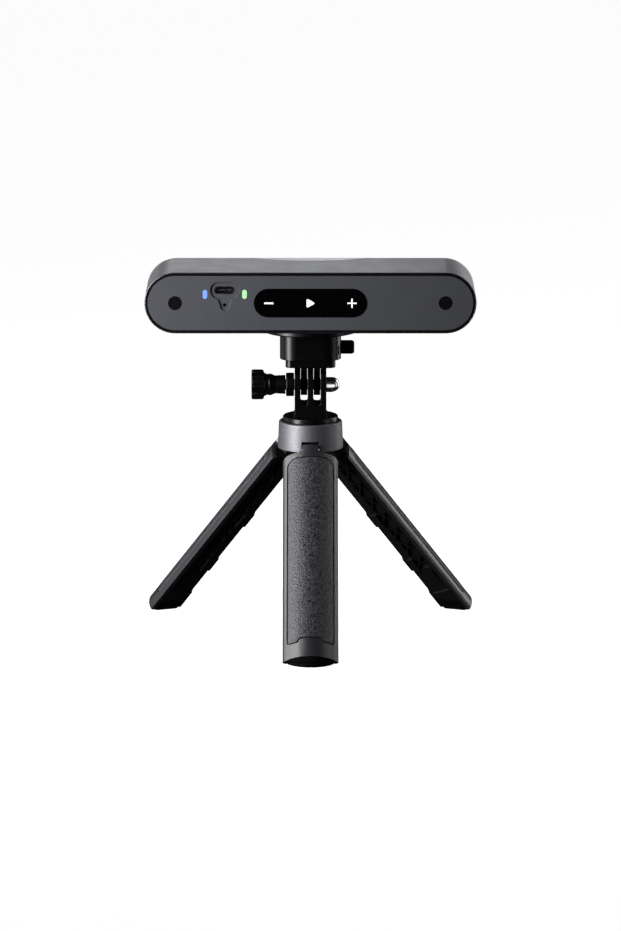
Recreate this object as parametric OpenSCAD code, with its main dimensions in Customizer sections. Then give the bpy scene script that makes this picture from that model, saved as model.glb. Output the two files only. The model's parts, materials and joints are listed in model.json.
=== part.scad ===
// Handheld 3D scanner on a folding mini tripod.
// X runs along the scanner, -Y is the side with the keys, +Z is up, and Z = 0 is the floor.

/* [Scanner] */
// Length of the scanner, end to end
body_len = 153; // [140:0.5:160]
// Height of the scanner
body_h = 28.4; // [27:0.1:30]
// Depth from the key face to the optics face
body_d = 44; // [42:0.5:50]
// Wall of the metal sleeve
shell_wall = 1.7; // [1.4:0.1:2]
// Height of the scanner's underside above the floor
body_z = 143.1; // [143:0.1:146]

/* [Keys] */
// Length of the black key capsule
keys_len = 51.5; // [48:0.5:54]
// Height of the key capsule
keys_h = 12.8; // [12:0.1:14]
// How far the keys stand out of the cover
key_proud = 0.3; // [0:0.05:0.5]
// Travel of a key
key_travel = 0.45; // [0.3:0.05:0.5]

/* [Quick release] */
// Radius of the round mount plate
plate_r = 22.7; // [22:0.1:23]
// Width of the clamp block
clamp_w = 28.4; // [27:0.1:30]
// Depth of the clamp block
clamp_d = 27; // [25:0.5:27]
// Travel of the release button
release_travel = 2.5; // [2:0.1:2.8]

/* [Tilt joint] */
// Height of the tilt axis
tilt_z = 115.2; // [115:0.1:115.4]
// Thickness of a prong of the lower fork
prong_t = 2.7; // [2.5:0.1:2.9]
// Gap between two prongs
prong_gap = 3.35; // [3.2:0.05:3.5]
// Radius of the tilt bolt
bolt_r = 2.5; // [2.4:0.1:2.6]

/* [Tripod] */
// Outer radius of the folded handle
leg_r = 15.2; // [15:0.1:15.3]
// Angle of an open leg from the vertical
spread = 40; // [39:0.2:41]
// Height of the leg hinges
hinge_z = 88.2; // [88:0.1:88.6]
// Distance of the leg hinges from the column's axis
hinge_r = 9.6; // [9.4:0.1:9.8]
// Reach of the feet from the column's axis
foot_reach = 86; // [85.5:0.1:86.5]

/* [Hidden] */
$fn = 96;

eps = 0.01;
fit_gap = 0.05;       // running fit of a pin in its bore, on the radius
side_clear = 0.3;     // space between parts that move past each other

// Legs: their azimuths, the slant of their long edges, and the plan curves of a foot
FRONT = -90;
LEFT = 150;
RIGHT = 30;
leg_side_gap = 0.2;
bevel_in = leg_r - 0.28;
bevel_out = leg_r - 0.1;
bevel_w = 1.7;
shell_len = 112.2;
boot_r = leg_r - 0.15;
boot_plan_r = 18;
boot_mid = foot_reach - boot_plan_r;
tread_plan_r = 12.5;
tread_mid = foot_reach - 0.3 - tread_plan_r;

// The origin is under the middle of the whole object's box, so the column stands behind it.
// The box's back is the corner of a rear leg's shell, at one end of its bevel or the other.
function shell_x(out) = hinge_r + (out - hinge_r) * cos(spread) + shell_len * sin(spread);
function corner(r, t) = [r * cos(60) + t * sin(60), r * sin(60) - t * cos(60)];
function corner_y(c) = shell_x(c[0]) * sin(30) + c[1] * cos(30);
y_back = max(corner_y(corner(bevel_in, leg_side_gap)), corner_y(corner(bevel_out, bevel_w)));
column_y = (foot_reach - y_back) / 2;

// Scanner: z of its axis, end radius, and the y of its key face in the column's frame
body_r = body_h / 2;
body_c = body_z + body_r;
key_face = -body_d / 2;
cavity_r = body_r - shell_wall;
seal_r = body_r - 0.45;
cover_r = seal_r - 1.1;
cover_t = 2.2;
recess_t = 0.6;
edge_r = 1.2;
post_x = 62.3;
lens_x = 50;
bench_y = 24;
bench_t = 3;
board_y = 14;
board_t = 1.6;
bezel_y = body_d - 3.6;
insert_r = 4.6;
insert_top = 5;
screw_r = 3.1;

// Quick release
plate_t = 2.2;
clamp_top = body_z - plate_t - 0.1;
clamp_bottom = 128.5;
base_bottom = 124.8;
plate_edge = 0.8;
clamp_corner = 8;
tongue = [16, 14];
tongue_bottom = 133.2;
tab_z = 130.4;
tab_h = 5.1;
tab_d = 8;
tab_out = 20.4;
pull_z = 131.6;
pull_h = 3;
hook_x = 7.2;
cross_x = 12.8;
slide_y = 9.4;
slide_t = 2.3;
seat_x = 8.8;
spring_x1 = 17.5;
spring_bore = 1.75;

// Fork, knob and collar
fork_w = 3 * prong_t + 2 * prong_gap;
fork_d = 14.8;
prong_reach = 9.3;
fork_floor = 106.5;
fork_round = 1;
upper_prong_t = prong_gap - 0.3;
upper_prong_r = 5;
disk_top = 100.8;
disk_bottom = disk_top - 2.9;
disk_r = 12.9;
collar_bottom = 85.5;
collar_top = 98.35;
collar_ledge = disk_bottom - 0.3;
hub_r = 12.4;
hub_top = collar_ledge - 0.3;
slot_w = 8;
knuckle_w = slot_w - 2 * side_clear;
knuckle_r = 2.8;
pin_r = 1;
pin_len = 12;
pan_r = 2;
pan_end = disk_top + 3;

// Legs, folded: heights in the closed leg's own frame, below its hinge
skin_t = 2.25;
skin_in = leg_r - skin_t;
core_in = 2.2;
leg_top = hinge_z - 6.5;
neck_top = hinge_z - 2.6;
shoulder_r = 3.2;
grip_top = hinge_z - 9.2;
grip_bottom = hinge_z - 104.4;
grip_w = 21;
grip_seat = 13.85;
tongue_h = 1.9;
shell_end = hinge_z - shell_len;
leg_end = hinge_z - 126;
foot_h = 5.1;
tread_h = 2.2;
lattice_pitch = 10.2;
lattice_cells = 7;
lattice_top = hinge_z - 11;
lattice_in = 5.4;
lattice_w = 5.7;
rib_t = 0.8;
face_recess = 0.75;
rail_r = 12;
pocket_depth = 2;
pads = [[44, 52.5], [75, 83]];   // raised pads, as distances below the hinge

function arc(cx, cy, r, a0, a1, n = 8) =
  [for (i = [0:n]) let (a = a0 + (a1 - a0) * i / n) [cx + r * cos(a), cy + r * sin(a)]];

// ---- frames ----

module at_column() translate([0, column_y, 0]) children();

// Scanner frame: x along it, y = depth from the key face, z from its axis
module at_scanner() at_column() translate([0, key_face, body_c]) children();

// A round part of the scanner whose axis runs along the depth
module depth_rod(x, z, y, r, h) translate([x, y, z]) rotate([-90, 0, 0]) cylinder(r = r, h = h);

// Capsule outline, as long as len, with its ends on radius r, from depth y to y + t
module capsule(len, r, y, t) {
  half = len / 2 - r;
  for (s = [-1, 1]) depth_rod(s * half, 0, y, r, t);
  translate([-half, y, -r]) cube([2 * half, t, 2 * r]);
}

// The same outline with the profile (radius, depth) given as a polygon swept round it
module swept_capsule(half, profile) {
  for (s = [0, 180])
    rotate([0, s, 0]) {
      translate([half, 0, 0]) rotate([-90, 0, 0]) rotate([0, 0, -90])
        rotate_extrude(angle = 180) polygon(profile);
      translate([half, 0, 0]) rotate([0, -90, 0]) linear_extrude(height = 2 * half)
        polygon(profile);
    }
}

// A part turned about the tilt axis' direction: its z becomes +x
module along_x(x) at_column() translate([x, 0, tilt_z]) rotate([0, 90, 0]) children();

// A plate with rounded corners, centred on the column
module rounded_block(w, d, r, z, h) {
  translate([-w / 2 + r, -d / 2, z]) cube([w - 2 * r, d, h]);
  translate([-w / 2, -d / 2 + r, z]) cube([w, d - 2 * r, h]);
  for (x = [-1, 1], y = [-1, 1])
    translate([x * (w / 2 - r), y * (d / 2 - r), z]) cylinder(r = r, h = h);
}

module button_head(r, h, socket_r) {
  difference() {
    cylinder(r = r, h = h);
    translate([0, 0, -eps]) cylinder(r = socket_r, h = h / 2, $fn = 6);
  }
}

// ---- scanner ----

function sleeve_profile() = concat(
  [[seal_r, 0], [body_r - 0.25, 0], [body_r, 0.25]],
  arc(body_r - edge_r, body_d - edge_r, edge_r, 0, 90),
  [[cavity_r, body_d], [cavity_r, 2.6], [seal_r, 2.6]]);

module patch(y0, r_extra, z, h) {
  // Lens shape that a large circle leaves along the optics edge
  intersection() {
    translate([0, body_d + 38, z]) cylinder(r = 47.5 + r_extra, h = h);
    translate([-40, y0, z]) cube([80, body_d - edge_r - y0 + r_extra, h]);
  }
}

module housing_shell() color("dimgray") at_scanner() difference() {
  union() {
    swept_capsule(body_len / 2 - body_r, sleeve_profile());
    for (s = [-1, 1]) {
      depth_rod(s * post_x, 0, cover_t + 3, 3.6, bench_y - cover_t - 3);
      translate([s * (post_x + 6.5) - 6, 8, -1.5]) cube([12, bench_y - 8, 3]);
    }
    translate([0, body_d / 2, -body_r + shell_wall / 2])
      cylinder(r = insert_r + 2, h = insert_top - shell_wall / 2);
  }
  for (s = [-1, 1]) depth_rod(s * post_x, 0, 0, 1.25, body_d);
  translate([0, body_d / 2, -body_r - 1]) cylinder(r = insert_r, h = insert_top + 2);
  patch(body_d - 10, 0.05, body_r - 0.6, 2);
}

module name_plate() color("gray") at_scanner() patch(body_d - 10, 0, body_r - 0.6, 0.6);

module rear_seal() color("black") at_scanner() difference() {
  capsule(body_len - 2 * (body_r - seal_r), seal_r, 0.2, 2.4);
  capsule(body_len - 2 * (body_r - cover_r), cover_r, -1, 5);
}

// Pear-shaped recess round the charging port and the cable lock's screw hole
module port_recess(y, t) {
  half = 4;
  for (s = [-1, 1]) depth_rod(-39.5 + s * 2.65, 5.9, y, half, t);
  translate([-39.5 - 2.65, y, 1.9]) cube([5.3, t, 2 * half]);
  depth_rod(-39.5, -1.4, y, 2.1, t);
  translate([-39.5, y + t, 0]) rotate([90, 0, 0]) linear_extrude(height = t)
    polygon([[-3.5, 3], [-2.05, -1.7], [2.05, -1.7], [3.5, 3]]);
}

module light_pill(x, grow, y, t) {
  r = 1.05 + grow;
  for (s = [-1, 1]) depth_rod(x, 4.1 + s * 1.05, y, r, t);
  translate([x - r, y, 4.1 - 1.05]) cube([2 * r, t, 2.1]);
}

module stadium_x(x, z, len, r, y, t) {
  for (s = [-1, 1]) depth_rod(x + s * (len / 2 - r), z, y, r, t);
  translate([x - len / 2 + r, y, z - r]) cube([len - 2 * r, t, 2 * r]);
}

module back_cover() color([0.32, 0.33, 0.35]) at_scanner() difference() {
  union() {
    capsule(body_len - 2 * (body_r - cover_r), cover_r, 0, cover_t);
    for (s = [-1, 1]) depth_rod(s * post_x, 0, cover_t - eps, 4.4, 2.8);
    stadium_x(-39.5, 3.4, 15, 7.2, cover_t - eps, 1.2);
  }
  stadium_x(0, 0, keys_len + 0.6, keys_h / 2 + 0.3, -1, 6);
  port_recess(-1, 1 + recess_t);
  stadium_x(-39.5, 5.9, 9.6, 1.85, 0, 6);
  depth_rod(-39.5, -1, 0, 0.8, 6);
  for (x = [-48.6, -30.4]) light_pill(x, 0.05, -1, 6);
  for (s = [-1, 1]) {
    depth_rod(s * post_x, 0, -1, 3.25, 4.2);
    depth_rod(s * post_x, 0, 0, 1.3, 8);
  }
}

module screw_plugs() color("black") at_scanner() for (s = [-1, 1]) difference() {
  depth_rod(s * post_x, 0, 0.1, 3.2, 1.4);
  difference() {
    depth_rod(s * post_x, 0, 0, 2.3, 0.25);
    depth_rod(s * post_x, 0, -1, 1.9, 3);
  }
}

module cover_screws() color("silver") at_scanner() for (s = [-1, 1])
  translate([s * post_x, 1.6, 0]) rotate([-90, 0, 0]) {
    button_head(2.6, 1.55, 1.3);
    translate([0, 0, 1.5]) cylinder(r = 1.2, h = 7);
  }

module front_bezel() color([0.05, 0.05, 0.06]) at_scanner() difference() {
  capsule(2 * (body_len / 2 - body_r) + 2 * cavity_r - 0.1, cavity_r - 0.05, bezel_y, 3.2);
  capsule(2 * (body_len / 2 - body_r) + 22.8, 11.4, bezel_y + 1.8, 4);
  for (s = [-1, 1]) depth_rod(s * lens_x, 0, bezel_y - 1, 6.6, 5);
  depth_rod(0, 0, bezel_y - 1, 7.4, 5);
  depth_rod(23, 0, bezel_y - 1, 4.8, 5);
  for (a = [0:60:300]) depth_rod(-24 + 6 * cos(a), 6 * sin(a), bezel_y - 1, 1.5, 5);
}

module cover_glass() color([0.1, 0.12, 0.16, 0.5]) at_scanner()
  capsule(2 * (body_len / 2 - body_r) + 22.7, 11.35, bezel_y + 1.85, 1.25);

module optics_bench() color("silver") at_scanner() difference() {
  translate([-67, bench_y, -9]) cube([134, bench_t, 18]);
  for (s = [-1, 1]) {
    depth_rod(s * post_x, 0, 0, 1.25, 60);
    depth_rod(s * lens_x, 0, 0, 6.05, 60);
  }
  depth_rod(0, 0, 0, 7.05, 60);
  depth_rod(23, 0, 0, 4.25, 60);
  for (x = [-38, 38], z = [-6.5, 6.5]) depth_rod(x, z, 0, 1.05, 60);
}

module bench_screws() color("silver") at_scanner() {
  for (s = [-1, 1]) translate([s * post_x, bench_y + bench_t + 1.6, 0]) rotate([90, 0, 0]) {
    button_head(2.5, 1.6, 1.2);
    translate([0, 0, 1.55]) cylinder(r = 1.2, h = 8);
  }
  for (x = [-38, 38], z = [-6.5, 6.5])
    translate([x, bench_y + bench_t + 1.2, z]) rotate([90, 0, 0]) {
      button_head(1.9, 1.2, 0.9);
      translate([0, 0, 1.15]) cylinder(r = 1, h = 6);
    }
}

// Camera: sensor block behind the bench and a stepped barrel through it
module camera(x, block, r) difference() {
  union() {
    translate([x - block / 2, bench_y - 4, -block / 2]) cube([block, 4, block]);
    depth_rod(x, 0, bench_y - eps, r, bench_t + 2);
    depth_rod(x, 0, bench_y + bench_t + 1.9, r - 0.8, bezel_y - bench_y - bench_t - 1.1);
  }
  depth_rod(x, 0, bezel_y - 4, r - 1.6, 6);
}

module stereo_cameras() color([0.12, 0.12, 0.13]) at_scanner()
  for (s = [-1, 1]) camera(s * lens_x, 13, 6);

module color_camera() color([0.12, 0.12, 0.13]) at_scanner() camera(23, 9, 4.2);

module projector() color([0.16, 0.16, 0.18]) at_scanner() camera(0, 16, 7);

module lens(x, r) intersection() {
  depth_rod(x, 0, bezel_y - 3, r, 4.5);
  translate([x, bezel_y - 3 - r, 0]) sphere(r = sqrt(pow(r, 2) + pow(r + 1.6, 2)));
}

module lenses() color([0.15, 0.2, 0.35, 0.6]) at_scanner() {
  for (s = [-1, 1]) lens(s * lens_x, 4.35);
  lens(23, 2.55);
  lens(0, 5.35);
}

// Ring of six fill lights on their own small board
module fill_light() color("white") at_scanner() {
  difference() {
    depth_rod(-24, 0, bench_y + bench_t, 8.2, 1.2);
    depth_rod(-24, 0, bench_y, 3.2, 6);
  }
  for (a = [0:60:300])
    depth_rod(-24 + 6 * cos(a), 6 * sin(a), bench_y + bench_t + 1, 1.25, bezel_y - bench_y - 3.5);
}

module main_board() color("darkgreen") at_scanner() difference() {
  translate([-56, board_y, -9.5]) cube([112, board_t, 19]);
  for (x = [-38, 38], z = [-6.5, 6.5]) depth_rod(x, z, 0, 1.05, 60);
  translate([-7, 0, -20]) cube([14, 60, 14]);
}

module board_chips() color([0.1, 0.1, 0.1]) at_scanner() {
  for (c = [[-20, 0, 14, 1.4], [0, 3, 8, 1.1], [18, 1, 10, 1.2], [48, 0, 7, 1]])
    translate([c[0] - c[2] / 2, board_y + board_t, c[1] - c[2] / 2]) cube([c[2], c[3], c[2]]);
  for (x = [-50, -46], z = [-5, 0, 5])
    translate([x, board_y + board_t, z]) cube([2, 0.9, 1.3]);
}

module board_standoffs() color("gold") at_scanner() for (x = [-38, 38], z = [-6.5, 6.5])
  difference() {
    depth_rod(x, z, board_y + board_t, 2.3, bench_y - board_y - board_t);
    depth_rod(x, z, 0, 1, 60);
  }

module key_board() color("darkgreen") at_scanner() difference() {
  translate([-30, 5.9, -8]) cube([60, 1, 16]);
  for (s = [-1, 1]) depth_rod(s * 27, 0, 0, 1.1, 20);
}

module key_switches() color([0.75, 0.75, 0.72]) at_scanner() for (x = [-19.2, 0, 19.1]) {
  translate([x - 2.6, 4.7, -2.6]) cube([5.2, 1.2, 5.2]);
  depth_rod(x, 0, key_back + key_travel + 0.1, 1.4, 0.8);
}

// Charging socket: drawn shell, closed at the back, with the contact tongue in it
module usb_port() color("silver") at_scanner() {
  difference() {
    stadium_x(-39.5, 5.9, 9.4, 1.7, recess_t + 0.2, 8.6);
    stadium_x(-39.5, 5.9, 8.9, 1.45, 0, 9);
  }
  translate([-42.8, 1.8, 5.55]) cube([6.6, 7.3, 0.7]);
}

module blue_light() color("dodgerblue") at_scanner() light_pill(-48.6, 0, 0.05, 4);

module green_light() color("palegreen") at_scanner() light_pill(-30.4, 0, 0.05, 4);

// ---- keys: one capsule cut into three, each with a lip behind the cover ----

key_split = 9;
key_r = keys_h / 2;
key_lip = 1.05;
key_gap = 0.07;        // half the slit between two keys
key_back = cover_t + 0.1 + key_lip;

module key_blank(x0, x1) intersection() {
  union() {
    stadium_x(0, 0, keys_len, key_r, -key_proud, cover_t + key_proud + 0.2);
    stadium_x(0, 0, keys_len + 2, key_r + 1, cover_t + 0.1, key_lip);
  }
  translate([x0 + key_gap, -5, -20]) cube([x1 - x0 - 2 * key_gap, 20, 40]);
}

module icon_cut() translate([0, -key_proud + 0.25, 0]) rotate([90, 0, 0])
  linear_extrude(height = 0.25) children();

module minus_shape() translate([-19.2, 0]) square([4.3, 0.8], center = true);

module plus_shape() translate([19.1, 0]) {
  square([4.3, 0.72], center = true);
  square([0.72, 4.3], center = true);
}

module play_shape() {
  // Triangle with rounded corners, pointing right
  round_r = 0.5;
  polygon(concat(arc(-1.3, 1.45, round_r, 60, 180, 4), arc(-1.3, -1.45, round_r, 180, 300, 4),
    arc(1.25, 0, round_r, -60, 60, 4)));
}

module minus_key() color([0.02, 0.02, 0.02]) at_scanner() difference() {
  key_blank(-keys_len, -key_split);
  icon_cut() minus_shape();
}

module play_key() color([0.02, 0.02, 0.02]) at_scanner() difference() {
  key_blank(-key_split, key_split);
  icon_cut() play_shape();
}

module plus_key() color([0.02, 0.02, 0.02]) at_scanner() difference() {
  key_blank(key_split, keys_len);
  icon_cut() plus_shape();
}

module minus_icon() color("white") at_scanner() icon_cut() minus_shape();

module play_icon() color("white") at_scanner() icon_cut() play_shape();

module plus_icon() color("white") at_scanner() icon_cut() plus_shape();

// ---- quick release ----

module tripod_insert() color("gold") at_column() difference() {
  translate([0, 0, body_z + 0.05]) cylinder(r = insert_r, h = insert_top - 0.05);
  translate([0, 0, body_z - 1]) cylinder(r = screw_r, h = 20);
}

module plate_screw() color("silver") at_column() {
  translate([0, 0, tongue_bottom + 0.4]) button_head(5, 2.6, 2.4);
  translate([0, 0, tongue_bottom + 2.9]) cylinder(r = screw_r, h = 11.8);
}

module mount_plate() color([0.06, 0.06, 0.07]) at_column() difference() {
  union() {
    rotate_extrude() polygon(concat([[0, body_z - plate_t]],
      arc(plate_r - plate_edge, body_z - plate_t + plate_edge, plate_edge, -90, 0),
      [[plate_r, body_z], [0, body_z]]));
    translate([-tongue[0] / 2, -tongue[1] / 2, tongue_bottom])
      cube([tongue[0], tongue[1], body_z - plate_t - tongue_bottom + eps]);
  }
  translate([0, 0, tongue_bottom - 1]) cylinder(r = 5.1, h = 4);
  translate([0, 0, tongue_bottom]) cylinder(r = screw_r, h = 20);
  translate([-tongue[0] / 2 - 1, -10, pull_z - 0.3]) cube([2.4, 20, pull_h + 2.2]);
}

// Slot for the slide from x, as long as len, reaching to y either side
module slide_way(x, len, y) translate([x, -y, pull_z - side_clear])
  cube([len, 2 * y, pull_h + 2 * side_clear]);

module clamp_body() color([0.05, 0.05, 0.055]) at_column() difference() {
  rounded_block(clamp_w, clamp_d, clamp_corner, clamp_bottom, clamp_top - clamp_bottom);
  // Socket for the plate's tongue
  translate([-tongue[0] / 2 - 0.1, -tongue[1] / 2 - 0.1, tongue_bottom - 0.3])
    cube([tongue[0] + 0.2, tongue[1] + 0.2, 20]);
  // Ways for the slide's hook, rails and crossbar, and for the button
  slide_way(-hook_x - slide_t - release_travel - side_clear, slide_t + release_travel + 1.2, 10);
  slide_way(seat_x, cross_x + side_clear - seat_x, 10);
  for (s = [-1, 1]) translate([-hook_x - 5, s * 8.5 - 1.5, pull_z - side_clear])
    cube([hook_x + cross_x + 5 + side_clear, 3, pull_h + 2 * side_clear]);
  translate([seat_x, -tab_d / 2 - side_clear, tab_z - side_clear])
    cube([20, tab_d + 2 * side_clear, tab_h + 2 * side_clear]);
  for (x = [-8.5, 8.5], y = [-8, 8]) translate([x, y, 120]) cylinder(r = 1, h = 10.8);
}

module clamp_base() color([0.05, 0.05, 0.055]) at_column() difference() {
  union() {
    rounded_block(23.2, 22, 3, base_bottom, clamp_bottom - base_bottom);
    for (s = [-1, 1]) {
      x = s * (prong_t + prong_gap) / 2 - upper_prong_t / 2;
      translate([x, 0, tilt_z]) rotate([0, 90, 0]) cylinder(r = upper_prong_r, h = upper_prong_t);
      translate([x, -upper_prong_r, tilt_z])
        cube([upper_prong_t, 2 * upper_prong_r, base_bottom - tilt_z + eps]);
    }
  }
  translate([-20, 0, tilt_z]) rotate([0, 90, 0]) cylinder(r = bolt_r + fit_gap, h = 40);
  for (x = [-8.5, 8.5], y = [-8, 8]) translate([x, y, 0]) {
    translate([0, 0, 120]) cylinder(r = 1, h = 11);
    translate([0, 0, 120]) cylinder(r = 1.9, h = base_bottom + 1.6 - 120);
  }
}

module base_screws() color("silver") at_column() for (x = [-8.5, 8.5], y = [-8, 8])
  translate([x, y, base_bottom + 0.2]) {
    button_head(1.85, 1.4, 0.9);
    translate([0, 0, 1.3]) cylinder(r = 1, h = 4);
  }

// Button with the slide that hooks the far side of the plate's tongue
module release_button() color([0.08, 0.08, 0.085]) at_column() difference() {
  union() {
    rounded_tab(cross_x, tab_out, 1);
    for (s = [-1, 1]) translate([-hook_x, s * (slide_y - 0.8) - 0.8, pull_z])
      cube([hook_x + cross_x, 1.6, pull_h]);
    translate([-hook_x - slide_t, -slide_y, pull_z]) cube([slide_t, 2 * slide_y, pull_h]);
    translate([cross_x - 1.2, -slide_y, pull_z]) cube([1.2 + eps, 2 * slide_y, pull_h]);
  }
  translate([0, 0, tab_z + tab_h / 2]) rotate([0, 90, 0]) cylinder(r = spring_bore, h = spring_x1);
}

// The tab's block from x0 to x1, rounded over radius r at its outer end
module rounded_tab(x0, x1, r) {
  y = tab_d / 2 - r;
  z = tab_z + r;
  z_span = tab_h - 2 * r;
  translate([x0, -tab_d / 2, tab_z]) cube([x1 - r - x0, tab_d, tab_h]);
  translate([x0, -y, z]) cube([x1 - x0, 2 * y, z_span]);
  for (s = [-1, 1]) {
    translate([x1 - r, s * y, z]) cylinder(r = r, h = z_span);
    for (k = [0, 1]) translate([x1 - r, s * y, z + k * z_span]) sphere(r = r);
  }
  for (k = [0, 1]) translate([x1 - r, -y, z + k * z_span]) rotate([-90, 0, 0])
    cylinder(r = r, h = 2 * y);
}

// Coil along x, as a tube swept along a helix
spring_turns = 6;
spring_steps = 14;
spring_sides = 8;
spring_wire = 0.22;
spring_coil = 1.35;
spring_run = spring_x1 - seat_x - 0.7;
spring_rings = spring_turns * spring_steps;

function spring_ring(i, j) =
  let (a = 360 * i / spring_steps, b = 360 * j / spring_sides, out = spring_coil + spring_wire * cos(b))
  [spring_run * i / spring_rings + spring_wire * sin(b), out * cos(a), out * sin(a)];

module release_spring() color("silver") at_column()
  translate([seat_x + 0.35, 0, tab_z + tab_h / 2]) polyhedron(
    points = [for (i = [0:spring_rings], j = [0:spring_sides - 1]) spring_ring(i, j)],
    faces = concat(
      [[for (j = [0:spring_sides - 1]) j],
        [for (j = [spring_sides - 1:-1:0]) spring_rings * spring_sides + j]],
      [for (i = [0:spring_rings - 1], j = [0:spring_sides - 1]) let (k = (j + 1) % spring_sides)
        [i * spring_sides + k, i * spring_sides + j,
          (i + 1) * spring_sides + j, (i + 1) * spring_sides + k]]));

// ---- tilt joint ----

module knob_profile() polygon(concat(
  [[bolt_r, 0], [5.4, 0]], arc(5.4, 0.6, 0.6, -90, 0, 4), [[6, 5.2]],
  arc(6.9, 7.6, 2, 210, 150, 6), [[4.9, 9.4]], arc(6.2, 11.4, 2, 195, 165, 3),
  [[4.3, 12.6], [4.45, 15.8], [bolt_r, 15.8]]));

module tilt_knob() color([0.04, 0.04, 0.045]) along_x(-27.5) {
  rotate_extrude() knob_profile();
  cylinder(r = bolt_r + eps, h = 8);
  for (a = [0:45:315]) rotate(a) translate([5.6, 0, 0]) {
    translate([0, 0, 0.5]) cylinder(r = 1.5, h = 4.6);
    cylinder(r1 = 1, r2 = 1.5, h = 0.5);
    translate([0, 0, 5.1]) cylinder(r1 = 1.5, r2 = 0.8, h = 0.7);
  }
}

module tilt_bolt() color("silver") along_x(-19.5) cylinder(r = bolt_r, h = 31.2);

module knob_washer() color([0.1, 0.1, 0.1]) along_x(-11.45)
  rotate_extrude() polygon([[bolt_r, 0], [5.1, 0], [5.5, 0.4], [5.5, 3.4], [5.2, 3.8], [bolt_r, 3.8]]);

module dome_nut() color("silver") along_x(fork_w / 2) difference() {
  rotate_extrude() polygon(concat([[0, 0], [3.6, 0], [3.6, 2.6]], arc(0, 2.6, 3.5, 5, 90)));
  translate([0, 0, -1]) cylinder(r = bolt_r + fit_gap, h = 5.6);
}

module pan_head() color([0.04, 0.04, 0.045]) at_column() difference() {
  union() {
    rotate_extrude() polygon([[0, disk_bottom], [disk_r - 0.4, disk_bottom],
      [disk_r, disk_bottom + 0.4], [disk_r, disk_top - 0.5], [disk_r - 0.5, disk_top],
      [0, disk_top]]);
    intersection() {
      translate([-fork_w / 2, -fork_d / 2, disk_top - eps]) cube([fork_w, fork_d, 30]);
      union() {
        translate([-fork_w, 0, tilt_z]) rotate([0, 90, 0])
          cylinder(r = prong_reach, h = 2 * fork_w);
        translate([-fork_w, -fork_d, disk_top - 1])
          cube([2 * fork_w, 2 * fork_d, tilt_z - disk_top + 1]);
      }
    }
    translate([-fork_w / 2 - 0.35, -fork_d / 2 - 0.35, disk_top - eps])
      cube([fork_w + 0.7, fork_d + 0.7, 0.9]);
  }
  for (s = [-1, 1]) translate([s * (prong_t + prong_gap) / 2, 0, 0]) {
    translate([-prong_gap / 2, -20, fork_floor + fork_round]) cube([prong_gap, 40, 40]);
    translate([-prong_gap / 2 + fork_round, -20, fork_floor])
      cube([prong_gap - 2 * fork_round, 40, 40]);
    for (k = [-1, 1])
      translate([k * (prong_gap / 2 - fork_round), -20, fork_floor + fork_round])
        rotate([-90, 0, 0]) cylinder(r = fork_round, h = 40);
  }
  translate([-20, 0, tilt_z]) rotate([0, 90, 0]) cylinder(r = bolt_r + fit_gap, h = 40);
  translate([0, 0, disk_bottom - 1]) cylinder(r = pan_r, h = pan_end - disk_bottom + 1.3);
}

module pan_screw() color("silver") at_column() {
  translate([0, 0, collar_bottom + 2.1]) button_head(3.6, 2.3, 1.8);
  translate([0, 0, collar_bottom + 4.3]) cylinder(r = pan_r, h = pan_end - collar_bottom - 4.3);
}

// ---- tripod hub ----

module pan_washer() color("white") at_column() difference() {
  translate([0, 0, hub_top]) cylinder(r = 10, h = disk_bottom - hub_top - 0.05);
  translate([0, 0, hub_top - 1]) cylinder(r = 3, h = 4);
}

module for_each_leg() for (az = [FRONT, LEFT, RIGHT]) rotate(az) children();

module collar() color([0.55, 0.56, 0.58]) at_column() difference() {
  rotate_extrude() polygon(concat(
    [[hub_r + 0.02, collar_bottom], [leg_r, collar_bottom], [leg_r - 0.05, collar_bottom + 3]],
    arc(14, collar_top - 0.8, 0.8, 0, 90, 5),
    [[disk_r + 0.3, collar_top], [disk_r + 0.3, collar_ledge], [hub_r + 0.02, collar_ledge]]));
  for_each_leg() translate([5, -slot_w / 2, collar_bottom - 1]) cube([20, slot_w, 6]);
}

module leg_hub() color([0.05, 0.05, 0.055]) at_column() difference() {
  translate([0, 0, collar_bottom + 0.1]) cylinder(r = hub_r, h = hub_top - collar_bottom - 0.1);
  for_each_leg() {
    translate([hinge_r - knuckle_r - side_clear, -slot_w / 2, 80])
      cube([20, slot_w, hinge_z + knuckle_r + 0.4 - 80]);
    pin_rod(pin_r, pin_len + 1);
  }
  translate([0, 0, 80]) cylinder(r = 4.2, h = collar_bottom + 4.5 - 80);
  translate([0, 0, 80]) cylinder(r = pan_r + fit_gap, h = 30);
}

// Rod on a leg's hinge line, for the leg at azimuth 0
module pin_rod(r, len) translate([hinge_r, -len / 2, hinge_z]) rotate([-90, 0, 0])
  cylinder(r = r, h = len);

module hinge_pins() color("silver") at_column() for_each_leg() pin_rod(pin_r, pin_len);

// ---- legs: drawn folded and pointing along +X, then swung open and turned to the azimuth ----

module opened(az) at_column() rotate(az) translate([hinge_r, 0, hinge_z])
  rotate([0, -spread, 0]) translate([-hinge_r, 0, -hinge_z]) children();

// A third of a ring, less the gap to its neighbours
module third(r_in, r_out) difference() {
  circle(r = r_out);
  circle(r = r_in);
  for (s = [-1, 1]) rotate(s * 60)
    translate([-50, s > 0 ? -leg_side_gap : leg_side_gap - 100]) square([100, 100]);
}

module third_prism(r_in, r_out, z0, z1) translate([0, 0, z0])
  linear_extrude(height = z1 - z0) third(r_in, r_out);

// A plate across the leg's front whose outline is in (sideways, height)
module front_plate(x0, x1) translate([x0, 0, 0]) rotate([90, 0, 90])
  linear_extrude(height = x1 - x0) children();

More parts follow.
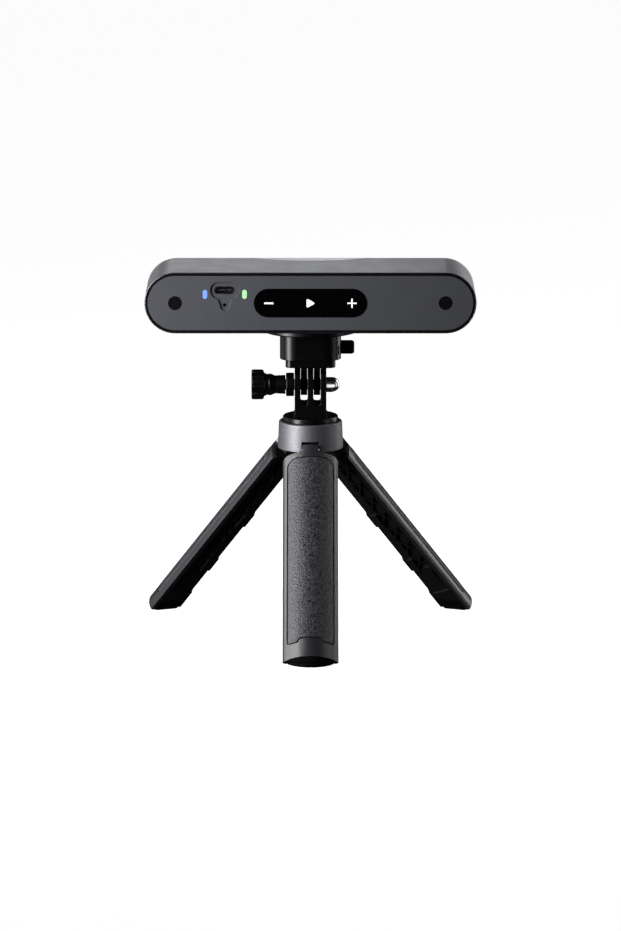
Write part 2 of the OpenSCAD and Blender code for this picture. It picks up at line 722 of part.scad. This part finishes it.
module shell_outline() polygon(concat(
  [[-14, leg_end], [14, leg_end]],
  arc(13.4 - shoulder_r, leg_top - 3, shoulder_r, 0, 80, 5),
  [[5.2, leg_top + 0.35], [4.2, leg_top + 0.8], [knuckle_w / 2, leg_top + 1.5],
    [knuckle_w / 2, neck_top], [-knuckle_w / 2, neck_top], [-knuckle_w / 2, leg_top + 1.5],
    [-4.2, leg_top + 0.8], [-5.2, leg_top + 0.35]],
  arc(shoulder_r - 13.4, leg_top - 3, shoulder_r, 100, 180, 5)));

module grip_outline(g) polygon(concat(
  arc(grip_w / 2 - 4, grip_top - 4, 4 + g, 0, 90, 6),
  arc(-grip_w / 2 + 4, grip_top - 4, 4 + g, 90, 180, 6),
  arc(-grip_w / 2 + 1, grip_bottom + 1, 1 + g, 180, 270, 3),
  [[-6.2 + g, grip_bottom - g], [-5.2 + g, grip_bottom + tongue_h - g],
    [5.2 - g, grip_bottom + tongue_h - g], [6.2 - g, grip_bottom - g]],
  arc(grip_w / 2 - 1, grip_bottom + 1, 1 + g, 270, 360, 3)));

module leg_shell(az) opened(az) difference() {
  intersection() {
    third_prism(skin_in, leg_r, shell_end, neck_top);
    front_plate(0, 20) shell_outline();
    union() {
      third_prism(skin_in, leg_r, shell_end, leg_top + 1.5);
      translate([0, -knuckle_w / 2, leg_top]) cube([20, knuckle_w, 20]);
    }
  }
  intersection() {
    third_prism(grip_seat - 0.05, leg_r + 1, grip_bottom - 2, grip_top + 2);
    front_plate(0, 20) grip_outline(0.4);
  }
  // Narrow bevel down each long edge
  for (s = [0, 1]) mirror([0, s, 0]) rotate(60) translate([0, 0, shell_end - 1])
    linear_extrude(height = 200)
      polygon([[bevel_in, -leg_side_gap], [bevel_out, -bevel_w], [17, -bevel_w], [17, 3],
        [bevel_in, 3]]);
}

module leg_grip(az) opened(az) intersection() {
  third_prism(grip_seat, leg_r + 0.1, grip_bottom - 2, grip_top + 2);
  front_plate(0, 20) grip_outline(0);
}

module rib_cross(z) for (a = [-1, 1]) translate([8.2, z]) rotate(a * 52)
  square([12, rib_t], center = true);

// Cuts an outline of (distance from the axis, height) into the face at y = -leg_side_gap
module side_cut(depth) translate([0, 1, 0]) rotate([90, 0, 0])
  linear_extrude(height = 1 + leg_side_gap + depth) children();

module leg_core(az) difference() {
  opened(az) difference() {
    union() {
      third_prism(core_in, skin_in - 0.02, leg_end, leg_top);
      // Knuckle
      translate([hinge_r, -knuckle_w / 2, hinge_z]) rotate([-90, 0, 0])
        cylinder(r = knuckle_r, h = knuckle_w);
      translate([hinge_r - knuckle_r, -knuckle_w / 2, leg_top - 2])
        cube([skin_in - 0.65 - hinge_r + knuckle_r, knuckle_w, neck_top - leg_top + 2]);
      translate([hinge_r - knuckle_r, -knuckle_w / 2, leg_top - 2])
        cube([2 * knuckle_r, knuckle_w, hinge_z - leg_top + 2]);
    }
    pin_rod(pin_r + fit_gap, 30);
    for (s = [0, 1]) mirror([0, s, 0]) rotate(60) {
      // Both side faces lie back, apart from a rail along the shell, two pads and the toe
      side_cut(face_recess) difference() {
        translate([0, hinge_z - 98]) square([rail_r, 100]);
        for (p = pads) translate([0, hinge_z - p[1]]) square([lattice_in, p[1] - p[0]]);
      }
      // Pockets, with crossed ribs left standing in them
      side_cut(pocket_depth) difference() {
        translate([lattice_in, lattice_top - lattice_cells * lattice_pitch])
          square([lattice_w, lattice_cells * lattice_pitch]);
        for (i = [0:lattice_cells - 1]) rib_cross(lattice_top - (i + 0.5) * lattice_pitch);
      }
      side_cut(face_recess + 0.6) translate([10.6, hinge_z - 94]) square([0.7, 9.5]);
    }
  }
  at_column() rotate(az) translate([0, -50, -60]) cube([150, 100, 60 + foot_h]);
}

// Round-nosed stock of height h that a foot is cut from: a narrow tread under a wide boot
module foot_stock(az, h) at_column() rotate(az) {
  translate([tread_mid, 0, 0]) rotate_extrude() polygon(concat(
    [[0, 0]], arc(tread_plan_r - 1.4, 1.4, 1.4, -90, 0, 6), [[tread_plan_r, tread_h + 0.1],
      [0, tread_h + 0.1]]));
  translate([boot_mid, 0, tread_h]) rotate_extrude() polygon([[0, 0], [boot_plan_r - 0.5, 0],
    [boot_plan_r, 0.5], [boot_plan_r, h - tread_h], [0, h - tread_h]]);
}

module leg_foot(az) {
  // Block under the core
  intersection() {
    opened(az) third_prism(core_in, skin_in - 0.05, leg_end, hinge_z - 90);
    foot_stock(az, foot_h);
  }
  // Boot and tread past the shell's end
  intersection() {
    opened(az) third_prism(core_in, boot_r, leg_end, shell_end - 0.02);
    foot_stock(az, foot_h + 3);
  }
}

module front_leg_shell() color([0.2, 0.2, 0.21]) leg_shell(FRONT);
module left_leg_shell() color([0.2, 0.2, 0.21]) leg_shell(LEFT);
module right_leg_shell() color([0.2, 0.2, 0.21]) leg_shell(RIGHT);
module front_leg_core() color([0.03, 0.03, 0.03]) leg_core(FRONT);
module left_leg_core() color([0.03, 0.03, 0.03]) leg_core(LEFT);
module right_leg_core() color([0.03, 0.03, 0.03]) leg_core(RIGHT);
module front_leg_grip() color([0.25, 0.25, 0.27]) leg_grip(FRONT);
module left_leg_grip() color([0.25, 0.25, 0.27]) leg_grip(LEFT);
module right_leg_grip() color([0.25, 0.25, 0.27]) leg_grip(RIGHT);
module front_leg_foot() color([0.1, 0.1, 0.1]) leg_foot(FRONT);
module left_leg_foot() color([0.1, 0.1, 0.1]) leg_foot(LEFT);
module right_leg_foot() color([0.1, 0.1, 0.1]) leg_foot(RIGHT);

housing_shell();
back_cover();
rear_seal();
name_plate();
front_bezel();
cover_glass();
optics_bench();
bench_screws();
stereo_cameras();
color_camera();
projector();
lenses();
fill_light();
main_board();
board_chips();
board_standoffs();
key_board();
key_switches();
usb_port();
blue_light();
green_light();
screw_plugs();
cover_screws();
tripod_insert();
plate_screw();
mount_plate();
clamp_body();
clamp_base();
base_screws();
release_spring();
release_button();
minus_key();
play_key();
plus_key();
minus_icon();
play_icon();
plus_icon();
tilt_knob();
tilt_bolt();
knob_washer();
pan_head();
dome_nut();
pan_screw();
pan_washer();
collar();
leg_hub();
hinge_pins();
front_leg_shell();
front_leg_core();
front_leg_grip();
front_leg_foot();
left_leg_shell();
left_leg_core();
left_leg_grip();
left_leg_foot();
right_leg_shell();
right_leg_core();
right_leg_grip();
right_leg_foot();
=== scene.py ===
"""Looks for the handheld scanner on its folding mini tripod. Metres, in the CAD frame."""

import json
import math

import bpy
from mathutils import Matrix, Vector


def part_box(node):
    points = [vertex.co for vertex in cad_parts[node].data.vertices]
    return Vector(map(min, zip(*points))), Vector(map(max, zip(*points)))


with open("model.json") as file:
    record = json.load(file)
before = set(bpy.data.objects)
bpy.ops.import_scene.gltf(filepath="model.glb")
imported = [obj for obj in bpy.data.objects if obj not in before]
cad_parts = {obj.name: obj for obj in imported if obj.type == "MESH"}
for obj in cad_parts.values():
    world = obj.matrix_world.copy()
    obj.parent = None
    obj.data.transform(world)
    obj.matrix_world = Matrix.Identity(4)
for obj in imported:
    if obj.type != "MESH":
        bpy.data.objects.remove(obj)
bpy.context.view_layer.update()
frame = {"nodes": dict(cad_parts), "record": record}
NODES = frame["nodes"]
MM = 0.001


# ---- camera, floor and light ------------------------------------------------------------

COLUMN_Y = sum(c.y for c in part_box("collar")) / 2
CAMERA_DISTANCE = 2.4
CAMERA_LIFT = math.radians(10.67)
# The camera's height is measured from here, and it is aimed a little lower
LIFTED_FROM_Z = 0.110
TARGET_Z = 0.0766
LENS = 199
SENSOR_WIDTH = 36
CLIP_END = 50
# What the lights are aimed at
OBJECT_MIDDLE = (0, COLUMN_Y, 0.1)
SCANNER_MIDDLE = (0, COLUMN_Y, 0.15)


def add_camera():
    """Long lens, a little above the scanner, aimed at the middle of the whole object."""
    data = bpy.data.cameras.new("camera")
    data.lens = LENS
    data.sensor_width = SENSOR_WIDTH
    data.clip_end = CLIP_END
    camera = bpy.data.objects.new("camera", data)
    bpy.context.scene.collection.objects.link(camera)
    camera.location = (
        0,
        COLUMN_Y - CAMERA_DISTANCE * math.cos(CAMERA_LIFT),
        LIFTED_FROM_Z + CAMERA_DISTANCE * math.sin(CAMERA_LIFT),
    )
    aim = Vector((0, COLUMN_Y, TARGET_Z)) - camera.location
    camera.rotation_euler = aim.to_track_quat("-Z", "Y").to_euler()
    bpy.context.scene.camera = camera


def add_area_light(name, place, size, watts, aim=OBJECT_MIDDLE, spread=180, only=()):
    """A softbox the camera doesn't see; only names the CAD nodes it lights, if not all."""
    data = bpy.data.lights.new(name, "AREA")
    data.shape = "RECTANGLE"
    data.size, data.size_y = size
    data.energy = watts
    data.spread = math.radians(spread)
    lamp = bpy.data.objects.new(name, data)
    bpy.context.scene.collection.objects.link(lamp)
    lamp.location = place
    lamp.rotation_euler = (Vector(aim) - lamp.location).to_track_quat("-Z", "Y").to_euler()
    lamp.visible_camera = False
    if only:
        lit = bpy.data.collections.new(f"{name}_lights")
        for node in only:
            lit.objects.link(NODES[node])
        lamp.light_linking.receiver_collection = lit


def add_floor():
    """Pale floor that turns up into a pale wall far behind."""
    half, back, turn, top = 6.0, 5.0, 1.5, 6.0
    profile = [(-half, 0.0), (back - turn, 0.0)]
    steps = 12
    for i in range(1, steps + 1):
        a = math.pi / 2 * i / steps
        profile.append((back - turn + turn * math.sin(a), turn - turn * math.cos(a)))
    profile.append((back, top))
    vertices = [(x, y, z) for y, z in profile for x in (-half, half)]
    faces = [(2 * i, 2 * i + 1, 2 * i + 3, 2 * i + 2) for i in range(len(profile) - 1)]
    mesh = bpy.data.meshes.new("floor")
    mesh.from_pydata(vertices, [], faces)
    mesh.shade_smooth()
    floor = bpy.data.objects.new("floor", mesh)
    bpy.context.scene.collection.objects.link(floor)
    mesh.materials.append(studio_white())
    floor.visible_glossy = False
    floor.visible_diffuse = False


WORLD_FILL = 0.05
WORLD_IN_GLOSS = 0.006
WORLD_SEEN = 1.0


def add_world():
    """White behind everything, dim fill on the object, and almost black in its gloss."""
    world = bpy.data.worlds.new("studio")
    world.use_nodes = True
    tree = world.node_tree
    path = tree.nodes.new("ShaderNodeLightPath")
    background = tree.nodes["Background"]
    background.inputs["Color"].default_value = (1, 1, 1, 1)
    lit = tree.nodes.new("ShaderNodeMapRange")
    lit.inputs["To Min"].default_value = WORLD_FILL
    lit.inputs["To Max"].default_value = WORLD_IN_GLOSS
    tree.links.new(path.outputs["Is Glossy Ray"], lit.inputs["Value"])
    seen = tree.nodes.new("ShaderNodeMapRange")
    seen.inputs["To Max"].default_value = WORLD_SEEN
    tree.links.new(path.outputs["Is Camera Ray"], seen.inputs["Value"])
    tree.links.new(lit.outputs["Result"], seen.inputs["To Min"])
    tree.links.new(seen.outputs["Result"], background.inputs["Strength"])
    bpy.context.scene.world = world


SIDES = ("front", "left", "right")
OPTICS = (
    "front_bezel", "cover_glass", "lenses", "stereo_cameras", "color_camera", "projector",
    "fill_light", "optics_bench")
BACK_SOFTBOX = (0.34, 0.45)


def add_studio():
    """The floor, the world, and the softboxes by position, size and power."""
    add_floor()
    add_world()
    add_area_light(
        "left_strip", (-0.36, -0.20, 0.18), (0.14, 0.60), 2.3, aim=(-0.08, 0, 0.13), spread=120)
    add_area_light("left_panel", (-0.40, 0.22, 0.18), (0.30, 0.60), 0.30)
    add_area_light(
        "right_strip", (0.36, -0.08, 0.17), (0.14, 0.50), 0.22,
        only=[node for node in NODES if node != "back_cover"])
    add_area_light("front_fill", (0.1, -1.6, 0.6), (0.7, 0.7), 0.05)
    leg_shells = [f"{side}_leg_shell" for side in SIDES]
    add_area_light(
        "back_sweep", (-0.08, 1.3, 0.50), BACK_SOFTBOX, 0.62, aim=SCANNER_MIDDLE,
        only=["housing_shell", "name_plate", "dome_nut", *leg_shells])
    for side, x, watts in (("left", -0.32, 0.40), ("right", 0.26, 0.60)):
        add_area_light(
            f"back_{side}", (x, 1.3, 0.14), BACK_SOFTBOX, watts, aim=SCANNER_MIDDLE,
            only=["housing_shell"])
    add_area_light(
        "leg_panel", (-0.50, 0.13, 0.30), (0.25, 0.35), 1.4,
        only=["front_leg_shell", "front_leg_grip", "leg_hub"])
    add_area_light("optics_card", (0.30, 0.9, 0.45), (0.7, 0.5), 6.0, only=OPTICS)
    add_area_light("nut_card", (0.08, -0.35, 0.02), (0.5, 0.3), 0.5, only=["dome_nut"])
    add_area_light("right_rim", (0.36, 0.24, 0.22), (0.10, 0.55), 0.75)
    bpy.context.scene.view_settings.view_transform = "Standard"


# ---- materials --------------------------------------------------------------------------

# Noise mostly stays between these two values, so they are spread over the range asked for
NOISE_LOW, NOISE_HIGH = 0.3, 0.7
NOISE_ROUGHNESS = 0.55


class Surface:
    """A Principled material whose colour, roughness and bump come from noise in object space."""

    def __init__(self, name, color, roughness, metallic=0.0, **sockets):
        self.material = bpy.data.materials.new(name)
        self.material.use_nodes = True
        self.tree = self.material.node_tree
        self.shader = self.tree.nodes["Principled BSDF"]
        self.color = color
        self.shader.inputs["Base Color"].default_value = (*color, 1)
        self.shader.inputs["Roughness"].default_value = roughness
        self.shader.inputs["Metallic"].default_value = metallic
        for socket, value in sockets.items():
            self.shader.inputs[socket.replace("_", " ")].default_value = value
        self.roughness = roughness
        self.place = self.tree.nodes.new("ShaderNodeTexCoord").outputs["Object"]
        self.normal = None

    def node(self, kind, **settings):
        """A new node of this kind, with these properties set."""
        made = self.tree.nodes.new(kind)
        for key, value in settings.items():
            setattr(made, key, value)
        return made

    def link(self, output, socket):
        self.tree.links.new(output, socket)

    def scaled(self, scale):
        """Object coordinates multiplied by a vector, to stretch a pattern."""
        mapping = self.node("ShaderNodeMapping")
        self.link(self.place, mapping.inputs["Vector"])
        mapping.inputs["Scale"].default_value = scale
        return mapping.outputs["Vector"]

    def noise(self, size, detail, stretch=(1, 1, 1)):
        """Noise whose blobs are about size metres across."""
        texture = self.node("ShaderNodeTexNoise")
        texture.inputs["Scale"].default_value = 1 / size
        texture.inputs["Detail"].default_value = detail
        texture.inputs["Roughness"].default_value = NOISE_ROUGHNESS
        self.link(self.scaled(stretch), texture.inputs["Vector"])
        return texture.outputs["Fac"]

    def cells(self, size, smooth):
        """Rounded cells about size metres across."""
        texture = self.node("ShaderNodeTexVoronoi", feature="SMOOTH_F1")
        texture.inputs["Scale"].default_value = 1 / size
        texture.inputs["Smoothness"].default_value = smooth
        self.link(self.place, texture.inputs["Vector"])
        return texture.outputs["Distance"]

    def to_range(self, value, low, high):
        """Noise brought to run from low to high."""
        scale = self.node("ShaderNodeMapRange")
        self.link(value, scale.inputs["Value"])
        scale.inputs["From Min"].default_value = NOISE_LOW
        scale.inputs["From Max"].default_value = NOISE_HIGH
        scale.inputs["To Min"].default_value = low
        scale.inputs["To Max"].default_value = high
        return scale.outputs["Result"]

    def vary_color(self, value, spread):
        """Colour goes from darker to lighter, by spread either way."""
        mix = self.node("ShaderNodeMix", data_type="RGBA")
        dark = tuple(c * (1 - spread) for c in self.color)
        light = tuple(min(1, c * (1 + spread)) for c in self.color)
        mix.inputs["A"].default_value = (*dark, 1)
        mix.inputs["B"].default_value = (*light, 1)
        self.link(self.to_range(value, 0, 1), mix.inputs["Factor"])
        self.link(mix.outputs["Result"], self.shader.inputs["Base Color"])

    def vary_roughness(self, value, spread):
        """Roughness changes by spread either way."""
        low, high = self.roughness - spread, self.roughness + spread
        self.link(self.to_range(value, low, high), self.shader.inputs["Roughness"])

    def bump(self, value, depth):
        """Relief of depth metres, on top of any relief that is already there."""
        bump = self.node("ShaderNodeBump")
        bump.inputs["Strength"].default_value = 1.0
        bump.inputs["Distance"].default_value = depth
        self.link(value, bump.inputs["Height"])
        if self.normal is not None:
            self.link(self.normal, bump.inputs["Normal"])
        self.normal = bump.outputs["Normal"]
        self.link(self.normal, self.shader.inputs["Normal"])


def moulded(name, color, roughness, depth=0.012 * MM, **sockets):
    """Injection-moulded plastic: fine spark-eroded grain, and faint handling marks."""
    surface = Surface(name, color, roughness, **sockets)
    surface.vary_color(surface.noise(9 * MM, 4), 0.04)
    surface.vary_roughness(surface.noise(5 * MM, 5), 0.02)
    surface.bump(surface.noise(0.25 * MM, 2), depth)
    return surface.material


def blasted_metal(name, color, roughness):
    """Bead-blasted and anodised aluminium."""
    surface = Surface(name, color, roughness, metallic=1.0)
    surface.vary_color(surface.noise(0.22 * MM, 2), 0.09)
    surface.vary_roughness(surface.noise(7 * MM, 4), 0.03)
    surface.bump(surface.noise(0.14 * MM, 2), 0.008 * MM)
    return surface.material


def turned_metal(name, color, roughness):
    """Satin turned ring: fine level lines round the column's axis."""
    surface = Surface(name, color, roughness, metallic=1.0)
    lines = surface.noise(0.35 * MM, 3, stretch=(0.02, 0.02, 1))
    surface.vary_color(lines, 0.07)
    surface.vary_roughness(surface.noise(0.25 * MM, 2, stretch=(0.03, 0.03, 1)), 0.05)
    surface.bump(lines, 0.01 * MM)
    return surface.material


def polished(name, color, roughness):
    """Polished or plated metal, slightly uneven."""
    surface = Surface(name, color, roughness, metallic=1.0)
    surface.vary_roughness(surface.noise(1.5 * MM, 4), 0.04)
    surface.bump(surface.noise(2.5 * MM, 2), 0.01 * MM)
    return surface.material


def rubber(name, color):
    """Dull rubber that hardly reflects."""
    surface = Surface(name, color, 0.7, Specular_IOR_Level=0.06)
    surface.vary_color(surface.noise(3 * MM, 5), 0.2)
    surface.vary_roughness(surface.noise(4 * MM, 3), 0.06)
    surface.bump(surface.noise(0.3 * MM, 3), 0.02 * MM)
    return surface.material


def grip_leather(name, color, roughness):
    """Soft-touch rubber with a pebbled leather grain in uneven shades."""
    surface = Surface(name, color, roughness)
    pebbles = surface.cells(0.85 * MM, smooth=0.7)
    surface.vary_color(surface.noise(0.8 * MM, 1), 0.95)
    surface.vary_roughness(surface.noise(0.8 * MM, 1), 0.12)
    surface.bump(surface.noise(0.7 * MM, 2), 0.22 * MM)
    surface.bump(pebbles, 0.12 * MM)
    return surface.material


def gloss_plastic(name, color):
    """Glossy black plastic with a faint waviness."""
    surface = Surface(name, color, 0.12, Specular_IOR_Level=0.3)
    surface.vary_color(surface.noise(6 * MM, 3), 0.15)
    surface.vary_roughness(surface.noise(3 * MM, 4), 0.03)
    surface.bump(surface.noise(8 * MM, 2), 0.004 * MM)
    return surface.material


def lamp_or_painted_glow(name, color, glow):
    """Light pipe that glows a little in its own colour; on the key icons the same glow is
    painted light that brightens the white print.
    """
    surface = Surface(name, color, 0.25, Emission_Strength=glow)
    surface.vary_color(surface.noise(1.2 * MM, 2), 0.2)
    surface.shader.inputs["Emission Color"].default_value = (*color, 1)
    surface.vary_roughness(surface.noise(MM, 2), 0.05)
    return surface.material


def dark_glass(name, color, transmission):
    """Tinted glass: transmission is the share of the light that goes through."""
    surface = Surface(name, color, 0.04, Transmission_Weight=transmission, IOR=1.5)
    surface.vary_roughness(surface.noise(12 * MM, 3), 0.015)
    surface.vary_color(surface.noise(30 * MM, 2), 0.2)
    return surface.material


def circuit_board(name, color):
    """Solder mask with the copper showing as low relief."""
    surface = Surface(name, color, 0.4)
    copper = surface.noise(1.3 * MM, 1, stretch=(1, 1, 0.2))
    surface.vary_color(copper, 0.3)
    surface.vary_roughness(surface.noise(2 * MM, 3), 0.08)
    surface.bump(copper, 0.02 * MM)
    return surface.material


def studio_white():
    """The floor's white, which glows so that the ground round the object stays pale."""
    surface = Surface("studio_white", (0.86, 0.86, 0.86), 0.9, Emission_Strength=0.93)
    surface.shader.inputs["Emission Color"].default_value = (1, 1, 1, 1)
    surface.vary_color(surface.noise(0.8, 2), 0.01)
    return surface.material


MATERIALS = {
    "shell_metal": blasted_metal("shell_metal", (0.162, 0.167, 0.196), 0.37),
    "cover_plastic": moulded("cover_plastic", (0.069, 0.071, 0.081), 0.43),
    "black_plastic": moulded(
        "black_plastic", (0.0006, 0.0006, 0.001), 0.33, depth=0.003 * MM,
        Specular_IOR_Level=0.4),
    "gloss_black": gloss_plastic("gloss_black", (0.001, 0.001, 0.001)),
    # The icons' glow is painted light: it makes the white print brighter than the lamps alone
    # would.
    "icon_white": lamp_or_painted_glow("icon_white", (0.9, 0.9, 0.9), 0.5),
    "blue_lens": lamp_or_painted_glow("blue_lens", (0.15, 0.25, 0.72), 0.62),
    "green_lens": lamp_or_painted_glow("green_lens", (0.33, 0.66, 0.33), 0.52),
    "plate_satin": blasted_metal("plate_satin", (0.78, 0.78, 0.80), 0.4),
    "black_rubber": rubber("black_rubber", (0.003, 0.003, 0.004)),
    "window_glass": dark_glass("window_glass", (0.35, 0.36, 0.40), transmission=1.0),
    "lens_glass": dark_glass("lens_glass", (0.2, 0.2, 0.4), transmission=0.9),
    "steel": polished("steel", (0.55, 0.55, 0.56), 0.28),
    "chrome": polished("chrome", (0.97, 0.97, 0.98), 0.24),
    "brass": polished("brass", (0.7, 0.5, 0.2), 0.3),
    "board_green": circuit_board("board_green", (0.01, 0.09, 0.04)),
    "chip_black": moulded("chip_black", (0.02, 0.02, 0.02), 0.5),
    "bench_alu": blasted_metal("bench_alu", (0.5, 0.5, 0.52), 0.35),
    "washer_white": moulded("washer_white", (0.8, 0.8, 0.77), 0.5),
    "collar_metal": turned_metal("collar_metal", (0.22, 0.22, 0.235), 0.58),
    "leg_shell": moulded(
        "leg_shell", (0.012, 0.012, 0.015), 0.42, Specular_IOR_Level=1.0),
    "leg_core": moulded("leg_core", (0.004, 0.004, 0.005), 0.45),
    "grip_rubber": grip_leather("grip_rubber", (0.037, 0.037, 0.044), 0.42),
}


# ---- the CAD parts: small rounded edges, and materials by slot ---------------------------

ROUND_SEGMENTS = 2
WELD_DISTANCE = 0.001 * MM
# Degrees between two faces: up to the first they count as one flat, from the second as an edge
FLAT_ANGLE = 0.5
EDGE_ANGLE = 32
# Between the knob's lobes the creases are too close together to round
EDGE_ANGLE_OF = {"tilt_knob": 50}


def soften(node, width):
    """Round by width metres the edges of a CAD part that are sharper than its edge angle."""
    obj = NODES[node]
    weld = obj.modifiers.new("weld", "WELD")
    weld.merge_threshold = WELD_DISTANCE
    flat = obj.modifiers.new("flat", "DECIMATE")
    flat.decimate_type = "DISSOLVE"
    flat.angle_limit = math.radians(FLAT_ANGLE)
    bevel = obj.modifiers.new("round", "BEVEL")
    bevel.width = width
    bevel.segments = ROUND_SEGMENTS
    bevel.limit_method = "ANGLE"
    bevel.angle_limit = math.radians(EDGE_ANGLE_OF.get(node, EDGE_ANGLE))
    bevel.use_clamp_overlap = False
    obj.modifiers.new("shade", "WEIGHTED_NORMAL")


# Millimetres. The button, feet, cores and rear leg shells are too finely detailed to round
ROUNDED = {
    "back_cover": 0.06, "housing_shell": 0.06, "name_plate": 0.1, "screw_plugs": 0.08,
    "mount_plate": 0.2, "clamp_body": 0.3, "clamp_base": 0.3,
    "tilt_knob": 0.2, "knob_washer": 0.15, "pan_head": 0.2, "dome_nut": 0.1,
    "collar": 0.3, "leg_hub": 0.2, "front_leg_shell": 0.1,
    **{f"{side}_leg_grip": 0.3 for side in SIDES},
}
for node, radius in ROUNDED.items():
    soften(node, radius * MM)

for part in frame["record"]["subparts"]:
    mesh = NODES[part["node"]].data
    mesh.materials.clear()
    mesh.materials.append(MATERIALS[part["material_slot"]])

# So that light reaches the lenses behind the window
NODES["cover_glass"].visible_shadow = False

add_camera()
add_studio()
